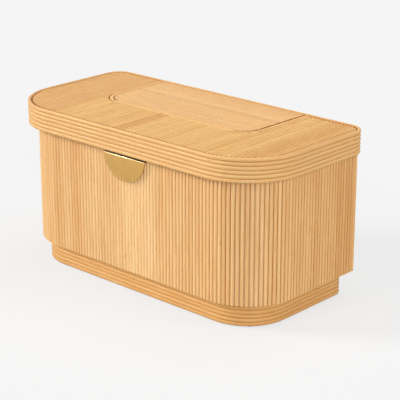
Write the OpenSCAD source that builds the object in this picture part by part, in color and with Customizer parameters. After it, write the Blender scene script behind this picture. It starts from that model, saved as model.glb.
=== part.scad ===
// Reeded storage trunk: a lid of split reeds inside a band of bent poles, hinged at the
// back to a reeded body that stands on a smaller plinth of bent poles.
// Millimetres. X runs along the length, the front faces -Y, Z is up from the floor.

/* [Lid outline] */
// Length of the lid, over the band
lid_length = 914; // [800:1:1040]
// Depth of the lid, over the band
lid_depth = 448; // [400:1:520]
// Radius of the two front corners, over the band
lid_front_radius = 168; // [140:1:185]
// Radius of the two back corners, over the band
lid_back_radius = 47; // [40:1:70]

/* [Body] */
// Height of the reeded walls
body_height = 331.2; // [240:0.1:420]
// How far the lid reaches past the body at each end
overhang_side = 22; // [16:1:30]
// How far the lid reaches past the body at the front
overhang_front = 28; // [24:1:40]
// How far the lid reaches past the body at the back
overhang_back = 9; // [9:0.5:14]
// Radius of the two front corners, over the reeds
body_front_radius = 148; // [125:1:165]
// Thickness of the wall boards
wall_board = 15; // [14:0.5:20]
// Thickness of the floor board
floor_board = 12; // [9:0.5:18]
// Gap between the top of the walls and the closed lid
lid_gap = 1.2; // [1:0.1:2]

/* [Plinth] */
// How far the plinth is set back from the body at the front and ends
plinth_inset = 23; // [16:1:34]
// How far the plinth is set back from the body at the back
plinth_inset_back = 15; // [10:1:24]
// Radius of the two back corners, over the poles
plinth_back_radius = 24; // [16:1:34]
// Thickness of the hardwood frame behind the poles
plinth_rail = 18; // [16:1:26]

/* [Bent poles] */
// Diameter of a pole
pole_d = 10.6; // [8:0.1:13]
// Depth planed off the back of a pole so that it glues flat
pole_flat = 1; // [0.5:0.1:2]
// Gap between two poles of a band
pole_gap = 0.2; // [0.1:0.05:0.6]
// Poles in the lid's band
lid_poles = 6; // [5:1:7]
// Poles in the plinth's band
plinth_poles_count = 6; // [4:1:8]

/* [Reeds] */
// Width of a split reed
reed_w = 11.2; // [9:0.1:14]
// Height of a wall reed above its board
reed_h = 5.2; // [3:0.1:5.4]
// Height of a reed of the lid's top above its board
top_reed_h = 3.4; // [2.4:0.1:4.4]
// Least gap between two reeds
reed_gap = 0.2; // [0.1:0.05:0.6]

/* [Lid construction] */
// How far the top pole stands above the reeds inside it
rim_proud = 2; // [0.5:0.1:3]
// Seam between the reeds of the top and what they run up to
seam = 0.4; // [0.2:0.1:1]
// Thickness of the board under the top reeds
top_board = 6; // [4:0.5:9]
// Thickness of the panel that closes the lid below
liner_board = 4; // [3:0.5:6]
// Thickness of the hardwood frame behind the poles
lid_rail = 18; // [16:1:26]
// Width of the centre panel, over its bent border reed
panel_width = 540; // [440:2:600]
// How far in front of the lid's centre line the centre panel ends
panel_front = 32; // [10:1:60]
// Radius of the centre panel's two corners, over its border reed
panel_radius = 62; // [40:1:80]

/* [Pull] */
// Radius of the half-moon
pull_radius = 75; // [55:1:90]
// How far the half-moon's centre lies above the plate's top edge
pull_rise = 7; // [0:0.5:15]
// Thickness of the plate
pull_sheet = 2.5; // [1.5:0.1:3]
// Inside radius of the bend between the plate and its flange
pull_bend = 0.8; // [0.4:0.1:1.2]
// Depth of the flange, from the plate's face to its back edge
pull_depth = 8; // [7.5:0.5:12]
// Height of the spacer between the lid and the plate's flange
pull_drop = 10.5; // [8:0.5:14]
// Clear space between the flange and the reeds behind it
pull_clear = 2; // [1.5:0.1:3]
// Diameter of the shank of the pull's screws
pull_screw_d = 2.4; // [2:0.1:2.6]
// Diameter of the head of the pull's screws
pull_screw_head_d = 4.2; // [3.6:0.1:4.4]
// Length of the pull's screws, through the spacer into the lid's frame
pull_screw_length = 27; // [20:1:32]

/* [Hinges] */
// Distance between the middles of the two hinges
hinge_spread = 560; // [300:5:620]
// Length of a hinge
hinge_length = 70; // [50:1:100]
// Thickness of a leaf
leaf_t = 1.6; // [1.2:0.1:2]
// Depth of a leaf, from its free edge to the barrel
leaf_depth = 19; // [18:0.5:22]
// Distance of a leaf's screws from its free edge
leaf_screw_edge = 7.5; // [6:0.5:9]
// Distance of a leaf's outer screws from its ends
leaf_screw_end = 11; // [8:0.5:14]
// Outside diameter of the barrel
barrel_d = 8; // [7:0.1:8]
// Diameter of the pin
pin_d = 4; // [3:0.1:4.5]
// Radial clearance of the pin in its knuckles
pin_clear = 0.05; // [0.02:0.01:0.1]
// Length of the chamfer at each end of the pin
pin_tip = 0.6; // [0.3:0.1:1]
// Gap between two knuckles
knuckle_gap = 0.3; // [0.2:0.1:0.6]
// Space between the barrel and what it turns past
barrel_clear = 0.5; // [0.4:0.1:1]

/* [Fittings] */
// Height of a glide under the plinth
glide_h = 3; // [2:0.5:8]
// Diameter of a glide
glide_d = 22; // [16:0.5:26]
// Diameter of a glide's nail
nail_d = 2.5; // [1.6:0.1:3]
// Length of a glide's nail above the glide
nail_length = 14; // [8:1:20]
// Diameter of a wood screw's shank
screw_d = 3.5; // [2.5:0.1:4]
// Diameter of a wood screw's head
screw_head_d = 6.8; // [5.5:0.1:7.5]
// Depth of the hole for a wood screw
screw_length = 24; // [16:1:30]
// Depth left empty at the tip of a screw or a nail
tip_room = 1; // [0.5:0.1:2]
// Diameter of a buffer that the lid closes on
buffer_d = 8; // [6:0.5:12]
// Space left between a buffer and the closed lid
buffer_clear = 0.2; // [0.1:0.05:0.4]

/* [Hidden] */

// Outlines seen from above: [half length, front y, back y, front radius, back radius].
lid_plan = [lid_length / 2, -lid_depth / 2, lid_depth / 2, lid_front_radius, lid_back_radius];
body_plan = [
    lid_plan[0] - overhang_side, lid_plan[1] + overhang_front, lid_plan[2] - overhang_back,
    body_front_radius, reed_h
];
plinth_plan = [
    body_plan[0] - plinth_inset, body_plan[1] + plinth_inset, body_plan[2] - plinth_inset_back,
    body_front_radius - plinth_inset, plinth_back_radius
];
function inset(plan, by) = [plan[0] - by, plan[1] + by, plan[2] - by, plan[3] - by, max(plan[4] - by, 0)];

// Levels, from the floor up.
pole_pitch = pole_d + pole_gap;
plinth_bottom = glide_h;
body_bottom = plinth_bottom + plinth_poles_count * pole_pitch;
floor_top = body_bottom + floor_board;
body_top = body_bottom + body_height;
lid_bottom = body_top + lid_gap;
lid_top = lid_bottom + lid_poles * pole_pitch;
top_board_top = lid_top - rim_proud - top_reed_h;
rail_top = top_board_top - top_board;
rail_bottom = lid_bottom + liner_board;

// Boards behind the poles and reeds.
pole_depth = pole_d - pole_flat;
wall_plan = inset(body_plan, reed_h);
cavity_plan = inset(wall_plan, wall_board);
lid_core = inset(lid_plan, pole_depth);
plinth_core = inset(plinth_plan, pole_depth);
field_plan = inset(lid_plan, pole_d + seam);

// Centre panel, open to the back: its plan runs on past the back of the lid.
panel_half = panel_width / 2;
panel_plan = [panel_half, -panel_front, lid_depth, panel_radius, 0];
panel_inner = inset(panel_plan, reed_w + seam);
panel_outer = inset(panel_plan, -seam);

// Hinge line.
hinge_y = body_plan[2] + barrel_d / 2 + barrel_clear;
hinge_z = body_top + lid_gap / 2;
leaf_gap = lid_gap / 3;
leaf_edge = hinge_y - barrel_d / 2 - barrel_clear;
leaf_back = leaf_edge - leaf_depth;
knuckles = 5;
knuckle = hinge_length / knuckles;
body_leaf_z = hinge_z - leaf_gap / 2 - leaf_t;
lid_leaf_z = hinge_z + leaf_gap / 2;

// Pull.
flange_back = body_plan[1] - pull_clear;
pull_face = flange_back - pull_depth;
flange_z = lid_bottom - pull_drop - pull_sheet;
pull_half = sqrt(pow(pull_radius, 2) - pow(pull_rise, 2));
bend_r = pull_bend + pull_sheet;
spacer_front = pull_face + bend_r;

reed_step = reed_w + reed_gap;
hole_clear = 0.05;
fine = 24;

// Shared shapes.

// Outline with its own radius at the front and at the back.
module outline(plan) {
    half = plan[0];
    front_r = plan[3];
    back_r = plan[4];
    translate([-half, plan[1] + front_r])
        square([2 * half, plan[2] - plan[1] - front_r - back_r]);
    translate([-half + front_r, plan[1]])
        square([2 * (half - front_r), front_r + 1]);
    for (side = [-1, 1])
        translate([side * (half - front_r), plan[1] + front_r]) circle(front_r, $fn = 96);
    if (back_r > 0) {
        translate([-half + back_r, plan[2] - back_r - 1])
            square([2 * (half - back_r), back_r + 1]);
        for (side = [-1, 1])
            translate([side * (half - back_r), plan[2] - back_r]) circle(back_r, $fn = 96);
    }
}

module slab(plan, z0, z1) {
    translate([0, 0, z0]) linear_extrude(z1 - z0) outline(plan);
}

// One quarter of a bent piece, standing on its two ends at a plan corner.
// corner: 0 front right, 1 back right, 2 back left, 3 front left. The profile is [radius, z].
module bend(plan, corner) {
    r = (corner == 0 || corner == 3) ? plan[3] : plan[4];
    x = plan[0] - r;
    y = (corner == 0 || corner == 3) ? plan[1] + r : plan[2] - r;
    translate([(corner == 0 || corner == 1) ? x : -x, y, 0])
        rotate([0, 0, corner * 90 - 90])
            rotate_extrude(angle = 90, $fn = 96) children();
}

// A straight run from [x0, y0] to [x1, y1]; the profile is [outward distance, z], with
// outward to the right of the way it runs.
module run(x0, y0, x1, y1) {
    turn = atan2(y1 - y0, x1 - x0);
    length = sqrt(pow(x1 - x0, 2) + pow(y1 - y0, 2));
    translate([x0, y0, 0])
        rotate([0, 0, turn])
            rotate([90, 0, 90])
                linear_extrude(length) mirror([1, 0]) children();
}

// Section of a pole with its planed back, [outward distance from its face, height].
module pole_section() {
    difference() {
        translate([-pole_d / 2, 0]) circle(pole_d / 2, $fn = fine);
        translate([-pole_d - 1, -pole_d]) square([pole_flat + 1, 2 * pole_d]);
    }
}

// Section of a split reed standing on y = 0.
module reed_section(h) {
    r = (pow(reed_w / 2, 2) + h * h) / (2 * h);
    intersection() {
        translate([0, h - r]) circle(r, $fn = fine);
        translate([-reed_w, 0]) square([2 * reed_w, h + 1]);
    }
}

// One closed ring of pole, bent round the four corners of a plan.
module pole_ring(plan, z) {
    for (corner = [0:3]) {
        r = (corner == 0 || corner == 3) ? plan[3] : plan[4];
        bend(plan, corner) translate([r, z]) pole_section();
    }
    half = plan[0];
    run(-half + plan[3], plan[1], half - plan[3], plan[1]) translate([0, z]) pole_section();
    run(half, plan[1] + plan[3], half, plan[2] - plan[4]) translate([0, z]) pole_section();
    run(half - plan[4], plan[2], -half + plan[4], plan[2]) translate([0, z]) pole_section();
    run(-half, plan[2] - plan[4], -half, plan[1] + plan[3]) translate([0, z]) pole_section();
}

module pole_stack(plan, bottom, first, last) {
    for (i = [first:last])
        pole_ring(plan, bottom + pole_pitch * (i + 0.5));
}

// Frame corners: segments sawn to the bend at the front, posts rounded outside at the back.
function post(plan, thick) = max(plan[4], thick);

module corner_blocks(plan, thick, z0, z1) {
    for (corner = [0, 3])
        bend(plan, corner) translate([plan[3] - thick, z0]) square([thick, z1 - z0]);
    size = post(plan, thick);
    translate([0, 0, z0]) linear_extrude(z1 - z0) intersection() {
        outline(plan);
        for (side = [-1, 1])
            translate([side * (plan[0] - size / 2), plan[2] - size / 2]) square(size, center = true);
    }
}

module front_bar(plan, thick, z0, z1) {
    translate([-plan[0] + plan[3], plan[1], z0])
        cube([2 * (plan[0] - plan[3]), thick, z1 - z0]);
}

module back_bar(plan, thick, z0, z1) {
    size = post(plan, thick);
    translate([-plan[0] + size, plan[2] - thick, z0])
        cube([2 * (plan[0] - size), thick, z1 - z0]);
}

module end_bar(plan, thick, z0, z1, side, corner) {
    y0 = plan[1] + plan[3];
    translate([side > 0 ? plan[0] - thick : -plan[0], y0, z0])
        cube([thick, plan[2] - corner - y0, z1 - z0]);
}

// Countersunk wood screw, head face at z = 0, pointing down.
module wood_screw(length, play = 0, shank = screw_d, head = screw_head_d) {
    head_h = (head - shank) / 2;
    translate([0, 0, -length]) cylinder(d = shank + 2 * play, h = length, $fn = fine);
    translate([0, 0, -head_h - play])
        cylinder(d1 = shank + 2 * play, d2 = head + 2 * play, h = head_h + play, $fn = fine);
}

// Places.

module at_hinges() {
    for (side = [-1, 1])
        translate([side * hinge_spread / 2, 0, 0]) children();
}

module at_hinge_screws() {
    at_hinges()
        for (i = [-1:1])
            translate([i * (hinge_length / 2 - leaf_screw_end), leaf_back + leaf_screw_edge, 0])
                children();
}

// Glides under the middle of the plinth's frame.
glide_plan = inset(plinth_core, plinth_rail / 2);
module at_glides() {
    corner_x = glide_plan[0] - glide_plan[3];
    for (side = [-1, 1])
        translate([side * (corner_x + glide_plan[3] * cos(45)),
                   glide_plan[1] + glide_plan[3] * (1 - sin(45)), 0]) children();
    for (side = [-1, 1])
        translate([side * (glide_plan[0] - plinth_back_radius), glide_plan[2], 0]) children();
    translate([0, glide_plan[1], 0]) children();
    translate([0, glide_plan[2], 0]) children();
}

module at_floor_screws() {
    for (x = [-0.6, 0.6])
        for (y = [glide_plan[1], glide_plan[2]])
            translate([x * (glide_plan[0] - glide_plan[3]), y, floor_top]) children();
    for (side = [-1, 1])
        translate([side * glide_plan[0], (glide_plan[1] + glide_plan[3]) / 2 + glide_plan[2] / 2, floor_top])
            children();
}

// Three screws go up through the flange and the spacer into the lid's front rail.
module pull_screw_row(length, play = 0) {
    for (x = [-0.7, 0, 0.7])
        translate([x * pull_half, (spacer_front + flange_back) / 2, flange_z])
            mirror([0, 0, 1]) wood_screw(length, play, pull_screw_d, pull_screw_head_d);
}

module at_buffers() {
    for (side = [-1, 1]) {
        translate([side * (wall_plan[0] - wall_plan[3]), wall_plan[1] + wall_board / 2, body_top]) children();
        translate([side * (wall_plan[0] - wall_board / 2), cavity_plan[2] - wall_board, body_top]) children();
    }
}

// Body.

module front_wall() {
    color("burlywood")
        front_bar(wall_plan, wall_board, body_bottom, body_top);
}

module back_wall() {
    color("burlywood") difference() {
        translate([-cavity_plan[0], cavity_plan[2], body_bottom])
            cube([2 * cavity_plan[0], wall_board, body_height]);
        hinge_recess(body_leaf_z);
        at_hinge_screws() translate([0, 0, body_leaf_z + leaf_t]) wood_screw(screw_length, hole_clear);
    }
}

module side_wall(side) {
    end_bar(wall_plan, wall_board, body_bottom, body_top, side, 0);
}

module left_wall() { color("tan") side_wall(-1); }

module right_wall() { color("tan") side_wall(1); }

// Two bent plywood quarters close the front corners.
module corner_walls() {
    color("wheat")
        for (corner = [0, 3])
            bend(wall_plan, corner)
                translate([wall_plan[3] - wall_board, body_bottom]) square([wall_board, body_height]);
}

module floor_panel() {
    color("linen") difference() {
        slab(cavity_plan, body_bottom, floor_top);
        at_floor_screws() wood_screw(screw_length, hole_clear);
    }
}

// Straight row of wall reeds from a start point, along one wall.
module reed_row(length) {
    count = floor(length / reed_step);
    pitch = length / count;
    for (i = [0:count - 1])
        translate([(i + 0.5) * pitch, 0, 0])
            linear_extrude(body_height) rotate(180) reed_section(reed_h);
}

front_run = 2 * (wall_plan[0] - wall_plan[3]);
side_run = body_plan[2] - 2 * reed_h - reed_gap - wall_plan[1] - wall_plan[3];
back_run = 2 * (body_plan[0] - 2 * reed_h - reed_gap);

module front_reeds() {
    color("sandybrown")
        translate([-front_run / 2, wall_plan[1], body_bottom]) reed_row(front_run);
}

module corner_reeds() {
    count = floor(wall_plan[3] * PI / 2 / reed_step);
    color("peru")
        for (side = [-1, 1])
            translate([side * front_run / 2, wall_plan[1] + wall_plan[3], body_bottom])
                for (i = [0:count - 1])
                    rotate([0, 0, side * (i + 0.5) * 90 / count])
                        translate([0, -wall_plan[3], 0])
                            linear_extrude(body_height) rotate(180) reed_section(reed_h);
}

module left_reeds() {
    color("sandybrown")
        translate([-wall_plan[0], wall_plan[1] + wall_plan[3] + side_run, body_bottom])
            rotate([0, 0, -90]) reed_row(side_run);
}

module right_reeds() {
    color("sandybrown")
        translate([wall_plan[0], wall_plan[1] + wall_plan[3], body_bottom])
            rotate([0, 0, 90]) reed_row(side_run);
}

module back_reeds() {
    color("sandybrown") difference() {
        translate([back_run / 2, wall_plan[2], body_bottom])
            rotate([0, 0, 180]) reed_row(back_run);
        hinge_recess(body_leaf_z);
    }
}

// Three-quarter round poles cover the square back corners of the boards.
module back_corner_poles() {
    color("peru")
        for (side = [-1, 1])
            translate([side * wall_plan[0], wall_plan[2], body_bottom])
                linear_extrude(body_height) difference() {
                    circle(reed_h, $fn = fine);
                    translate([side > 0 ? -2 * reed_h : 0, -2 * reed_h]) square(2 * reed_h);
                }
}

// Plinth.

module plinth_holes() {
    at_floor_screws() wood_screw(screw_length, hole_clear);
    at_glides() cylinder(d = nail_d + 2 * hole_clear, h = plinth_bottom + nail_length, $fn = fine);
}

module plinth_front_rail() {
    color("peru") difference() {
        front_bar(plinth_core, plinth_rail, plinth_bottom, body_bottom);
        plinth_holes();
    }
}

module plinth_back_rail() {
    color("peru") difference() {
        back_bar(plinth_core, plinth_rail, plinth_bottom, body_bottom);
        plinth_holes();
    }
}

module plinth_end_rails() {
    color("peru") difference() {
        for (side = [-1, 1]) end_bar(
            plinth_core, plinth_rail, plinth_bottom, body_bottom, side, post(plinth_core, plinth_rail));
        plinth_holes();
    }
}

module plinth_corner_blocks() {
    color("sienna") difference() {
        corner_blocks(plinth_core, plinth_rail, plinth_bottom, body_bottom);
        plinth_holes();
    }
}

module plinth_poles() {
    color("goldenrod") pole_stack(plinth_plan, plinth_bottom, 0, plinth_poles_count - 1);
}

module glides() {
    edge = 0.8;
    color("black")
        at_glides() difference() {
            rotate_extrude($fn = 48)
                polygon([
                    [0, 0], [glide_d / 2 - edge, 0], [glide_d / 2, edge],
                    [glide_d / 2, glide_h - edge / 2], [glide_d / 2 - edge / 2, glide_h], [0, glide_h]
                ]);
            translate([0, 0, glide_h / 2])
                cylinder(d = nail_d + 2 * hole_clear, h = glide_h, $fn = fine);
        }
}

module glide_nails() {
    color("silver")
        at_glides()
            translate([0, 0, glide_h / 2])
                cylinder(d = nail_d, h = glide_h / 2 + nail_length - tip_room, $fn = fine);
}

module floor_screws() {
    color("silver") at_floor_screws() wood_screw(screw_length - tip_room);
}

module lid_buffers() {
    h = lid_gap - buffer_clear;
    color("gainsboro")
        at_buffers()
            rotate_extrude($fn = 48)
                polygon([[0, 0], [buffer_d / 2, 0], [buffer_d / 2 - h / 2, h], [0, h]]);
}

// Hinges.

// Space that a leaf takes out of the wood on its side of the hinge line.
module hinge_recess(z) {
    at_hinges()
        translate([-hinge_length / 2, leaf_back, z])
            cube([hinge_length, leaf_depth + pole_d, leaf_t]);
}

module leaf(z, mine) {
    difference() {
        union() {
            translate([-hinge_length / 2, leaf_back, z]) cube([hinge_length, leaf_depth, leaf_t]);
            for (i = [0:knuckles - 1])
                if (i % 2 == mine)
                    translate([-hinge_length / 2 + i * knuckle + knuckle_gap / 2, 0, 0]) {
                        translate([0, leaf_edge, z])
                            cube([knuckle - knuckle_gap, hinge_y - leaf_edge, leaf_t]);
                        translate([0, hinge_y, hinge_z]) rotate([0, 90, 0])
                            cylinder(d = barrel_d, h = knuckle - knuckle_gap, $fn = 48);
                    }
        }
        translate([-hinge_length, hinge_y, hinge_z]) rotate([0, 90, 0])
            cylinder(d = pin_d + 2 * pin_clear, h = 2 * hinge_length, $fn = 48);
    }
}

module body_hinge_leaves() {
    color("goldenrod") difference() {
        at_hinges() leaf(body_leaf_z, 0);
        at_hinge_screws() translate([0, 0, body_leaf_z + leaf_t]) wood_screw(screw_length, hole_clear);
    }
}

module lid_hinge_leaves() {
    color("gold") difference() {
        at_hinges() leaf(lid_leaf_z, 1);
        at_hinge_screws() translate([0, 0, lid_leaf_z]) mirror([0, 0, 1]) wood_screw(screw_length, hole_clear);
    }
}

module hinge_pins() {
    color("dimgray")
        at_hinges()
            translate([-hinge_length / 2, hinge_y, hinge_z]) rotate([0, 90, 0]) {
                cylinder(d = pin_d, h = hinge_length, $fn = 48);
                translate([0, 0, hinge_length])
                    cylinder(d1 = pin_d, d2 = pin_d - 2 * pin_tip, h = pin_tip, $fn = 48);
                translate([0, 0, -pin_tip])
                    cylinder(d1 = pin_d - 2 * pin_tip, d2 = pin_d, h = pin_tip, $fn = 48);
            }
}

module body_hinge_screws() {
    color("goldenrod")
        at_hinge_screws() translate([0, 0, body_leaf_z + leaf_t]) wood_screw(screw_length - tip_room);
}

module lid_hinge_screws() {
    color("goldenrod")
        at_hinge_screws() translate([0, 0, lid_leaf_z]) mirror([0, 0, 1]) wood_screw(screw_length - tip_room);
}

// Lid.

module lid_cuts() {
    hinge_recess(lid_leaf_z);
    at_hinge_screws() translate([0, 0, lid_leaf_z]) mirror([0, 0, 1]) wood_screw(screw_length, hole_clear);
    slot = hinge_length + 2 * (pin_tip + barrel_clear);
    at_hinges() translate([-slot / 2, hinge_y, hinge_z]) rotate([0, 90, 0])
        cylinder(d = barrel_d + 2 * barrel_clear, h = slot, $fn = 48);
}

module lid_front_rail() {
    color("tan") difference() {
        front_bar(lid_core, lid_rail, rail_bottom, rail_top);
        pull_screw_row(pull_screw_length, hole_clear);
    }
}

module lid_back_rail() {
    color("tan") difference() {
        back_bar(lid_core, lid_rail, rail_bottom, rail_top);
        lid_cuts();
    }
}

module lid_end_rails() {
    color("tan") for (side = [-1, 1])
        end_bar(lid_core, lid_rail, rail_bottom, rail_top, side, post(lid_core, lid_rail));
}

module lid_corner_blocks() {
    color("burlywood") corner_blocks(lid_core, lid_rail, rail_bottom, rail_top);
}

module lid_top_board() {
    color("wheat") slab(lid_core, rail_top, top_board_top);
}

module lid_liner() {
    color("linen") difference() {
        slab(lid_core, lid_bottom, rail_bottom);
        lid_cuts();
        pull_screw_row(pull_screw_length, hole_clear);
    }
}

module rim_pole() {
    color("peru") pole_stack(lid_plan, lid_bottom, lid_poles - 1, lid_poles - 1);
}

module band_poles() {
    color("goldenrod") difference() {
        pole_stack(lid_plan, lid_bottom, 0, lid_poles - 2);
        lid_cuts();
    }
}

module centre_reeds() {
    y0 = panel_inner[1];
    length = field_plan[2] - y0;
    count = floor(length / reed_step);
    pitch = length / count;
    color("wheat") intersection() {
        for (i = [0:count - 1])
            translate([-panel_half, y0 + (i + 0.5) * pitch, top_board_top])
                rotate([90, 0, 90]) linear_extrude(2 * panel_half) reed_section(top_reed_h);
        translate([0, 0, top_board_top - seam])
            linear_extrude(top_reed_h + 2 * seam) outline(panel_inner);
    }
}

// One reed bent round the centre panel, from the back edge to the back edge.
module border_reed() {
    half = panel_plan[0];
    turn_y = panel_plan[1] + panel_plan[3];
    color("peru") {
        for (corner = [0, 3])
            bend(panel_plan, corner)
                translate([panel_radius - reed_w / 2, top_board_top]) reed_section(top_reed_h);
        run(-half + panel_radius, panel_plan[1], half - panel_radius, panel_plan[1])
            translate([-reed_w / 2, top_board_top]) reed_section(top_reed_h);
        run(half, turn_y, half, field_plan[2])
            translate([-reed_w / 2, top_board_top]) reed_section(top_reed_h);
        run(-half, field_plan[2], -half, turn_y)
            translate([-reed_w / 2, top_board_top]) reed_section(top_reed_h);
    }
}

// Reeds that run front to back from x0 to x1; those in front of the centre panel stop at it.
module field_row(x0, x1) {
    count = floor((x1 - x0) / reed_step);
    pitch = (x1 - x0) / count;
    intersection() {
        for (i = [0:count - 1])
            translate([x0 + (i + 0.5) * pitch, lid_depth, top_board_top])
                rotate([90, 0, 0]) linear_extrude(2 * lid_depth) reed_section(top_reed_h);
        translate([0, 0, top_board_top - seam]) linear_extrude(top_reed_h + 2 * seam) difference() {
            outline(field_plan);
            outline(panel_outer);
        }
    }
}

module left_field_reeds() { color("sandybrown") field_row(-field_plan[0], -panel_outer[0]); }

module front_field_reeds() { color("tan") field_row(-panel_outer[0], panel_outer[0]); }

module right_field_reeds() { color("sandybrown") field_row(panel_outer[0], field_plan[0]); }

// Pull.

// A stained strip spaces the flange from the lid.
module pull_spacer() {
    half = pull_half - pull_sheet;
    color("saddlebrown") difference() {
        translate([-half, spacer_front, flange_z + pull_sheet])
            cube([2 * half, flange_back - spacer_front, pull_drop]);
        pull_screw_row(pull_screw_length, hole_clear);
    }
}

// Section of the bent sheet, [y, z]: a face that hangs down, a bend and a flange that runs back.
module pull_section() {
    translate([pull_face + bend_r, flange_z - pull_bend]) {
        intersection() {
            difference() {
                circle(bend_r, $fn = 48);
                circle(pull_bend, $fn = 48);
            }
            translate([-bend_r, 0]) square(bend_r);
        }
        translate([-bend_r, -pull_radius]) square([pull_sheet, pull_radius]);
        translate([0, pull_bend]) square([pull_depth - bend_r, pull_sheet]);
    }
}

// Half-moon of sheet, its straight edge bent back into the flange.
module pull_plate() {
    color("gold") difference() {
        intersection() {
            rotate([90, 0, 90]) linear_extrude(2 * pull_radius, center = true) pull_section();
            translate([0, flange_back, flange_z + pull_sheet + pull_rise])
                rotate([90, 0, 0]) linear_extrude(pull_depth) circle(pull_radius, $fn = 96);
        }
        pull_screw_row(pull_screw_length, hole_clear);
    }
}

module pull_screws() {
    color("goldenrod") pull_screw_row(pull_screw_length - tip_room);
}

front_wall();
back_wall();
left_wall();
right_wall();
corner_walls();
floor_panel();
front_reeds();
corner_reeds();
left_reeds();
right_reeds();
back_reeds();
back_corner_poles();
plinth_front_rail();
plinth_back_rail();
plinth_end_rails();
plinth_corner_blocks();
plinth_poles();
glides();
glide_nails();
floor_screws();
lid_buffers();
body_hinge_leaves();
hinge_pins();
body_hinge_screws();
lid_front_rail();
lid_back_rail();
lid_end_rails();
lid_corner_blocks();
lid_top_board();
lid_liner();
rim_pole();
band_poles();
centre_reeds();
border_reed();
front_field_reeds();
left_field_reeds();
right_field_reeds();
pull_spacer();
pull_plate();
pull_screws();
lid_hinge_leaves();
lid_hinge_screws();
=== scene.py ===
import math
import random

import bmesh
import bpy
from mathutils import Matrix, Vector


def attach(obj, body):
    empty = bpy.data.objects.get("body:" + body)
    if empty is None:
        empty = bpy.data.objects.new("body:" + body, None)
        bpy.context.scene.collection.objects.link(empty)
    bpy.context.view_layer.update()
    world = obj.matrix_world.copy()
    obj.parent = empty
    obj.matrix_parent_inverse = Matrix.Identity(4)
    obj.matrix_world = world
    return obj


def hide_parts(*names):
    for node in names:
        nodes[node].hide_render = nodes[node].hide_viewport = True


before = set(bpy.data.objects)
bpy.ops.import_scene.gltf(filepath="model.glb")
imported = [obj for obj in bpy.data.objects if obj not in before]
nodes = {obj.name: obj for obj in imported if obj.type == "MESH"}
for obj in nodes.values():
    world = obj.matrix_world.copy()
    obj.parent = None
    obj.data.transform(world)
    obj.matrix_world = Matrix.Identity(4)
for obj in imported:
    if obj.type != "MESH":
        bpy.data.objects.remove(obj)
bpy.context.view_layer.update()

MM = 0.001

# Plinth frame. Four planed beech rails and four corner blocks, glued into a ring behind
# the bent poles. Beech is pale and even with short darker flecks, and this wood has no
# polish, so it looks dull, with its grain running along each rail.


def linear(code):
    """An sRGB hex colour as linear RGBA."""
    parts = [int(code[i:i + 2], 16) / 255 for i in (1, 3, 5)]
    return [c / 12.92 if c <= 0.04045 else ((c + 0.055) / 1.055) ** 2.4 for c in parts] + [1.0]


def add(tree, kind, inputs=None, **settings):
    """Adds a node to a tree. A socket is given by name or number, and takes a value or a link."""
    made = tree.nodes.new(kind)
    for key, value in settings.items():
        setattr(made, key, value)
    for key, value in (inputs or {}).items():
        if isinstance(value, bpy.types.NodeSocket):
            tree.links.new(value, made.inputs[key])
        else:
            made.inputs[key].default_value = value
    return made


def finish(name, roughness, **shader):
    """A new material with one Principled shader, and its tree and that shader."""
    made = bpy.data.materials.new(name)
    made.use_nodes = True
    principled = made.node_tree.nodes["Principled BSDF"]
    principled.inputs["Roughness"].default_value = roughness
    for key, value in shader.items():
        principled.inputs[key.replace("_", " ")].default_value = value
    return made, made.node_tree, principled


def planed_wood(name, along, light, dark, ring_mm, roughness=0.6):
    """Solid wood or veneer whose grain runs along one axis of the object."""
    made, tree, shader = finish(name, roughness)
    place = add(tree, "ShaderNodeTexCoord").outputs["Object"]
    # Pores are 0.6 mm wide and 30 mm long, growth rings ring_mm wide and 22 times as long.
    pore_size, ring_size = [1000 / 0.6] * 3, [1000 / ring_mm] * 3
    pore_size[along], ring_size[along] = 1000 / 30, 1000 / ring_mm / 22
    pores = add(tree, "ShaderNodeMapping", {"Vector": place, "Scale": pore_size})
    pore = add(tree, "ShaderNodeTexNoise", {
        "Vector": pores.outputs[0], "Scale": 1.0, "Detail": 3.0}).outputs[0]
    rings = add(tree, "ShaderNodeMapping", {"Vector": place, "Scale": ring_size})
    ring = add(tree, "ShaderNodeTexNoise", {
        "Vector": rings.outputs[0], "Scale": 1.0, "Detail": 4.0, "Roughness": 0.6, "Distortion": 0.4})
    late = add(tree, "ShaderNodeMapRange", {0: ring.outputs[0], 1: 0.36, 2: 0.66})
    board = add(tree, "ShaderNodeMix", {
        0: late.outputs[0], 6: linear(light), 7: linear(dark)}, data_type="RGBA")
    open_pore = add(tree, "ShaderNodeMapRange", {0: pore, 1: 0.56, 2: 0.75, 4: 0.35})
    add_pores = add(tree, "ShaderNodeMix", {
        0: open_pore.outputs[0], 6: board.outputs[2], 7: linear(dark)}, data_type="RGBA")
    tree.links.new(add_pores.outputs[2], shader.inputs["Base Color"])
    rough = add(tree, "ShaderNodeMapRange", {
        0: pore, 1: 0.3, 2: 0.7, 3: roughness - 0.07, 4: roughness + 0.1})
    tree.links.new(rough.outputs[0], shader.inputs["Roughness"])
    bump = add(tree, "ShaderNodeBump", {"Height": pore, "Strength": 0.35, "Distance": 0.0002})
    tree.links.new(bump.outputs[0], shader.inputs["Normal"])
    return made


def dress(name, made):
    """Gives a CAD node its finish."""
    piece = nodes[name]
    piece.data.materials.clear()
    piece.data.materials.append(made)


# Planed beech: a dull, even, pale brown.
beech_across = planed_wood("planed_beech_across", 0, "#E3C596", "#BE9562", 7)
beech_deep = planed_wood("planed_beech_deep", 1, "#E0C193", "#BB915F", 7)
for name in ("plinth_front_rail", "plinth_back_rail", "plinth_corner_blocks"):
    dress(name, beech_across)
dress("plinth_end_rails", beech_deep)

# Walls and floor. The box is plywood faced inside with birch veneer: upright grain on the
# walls, a bent quarter at each front corner, and a floor let in between them. The sanded
# face has one thin clear coat, so it is a little smoother than the frame.

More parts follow.
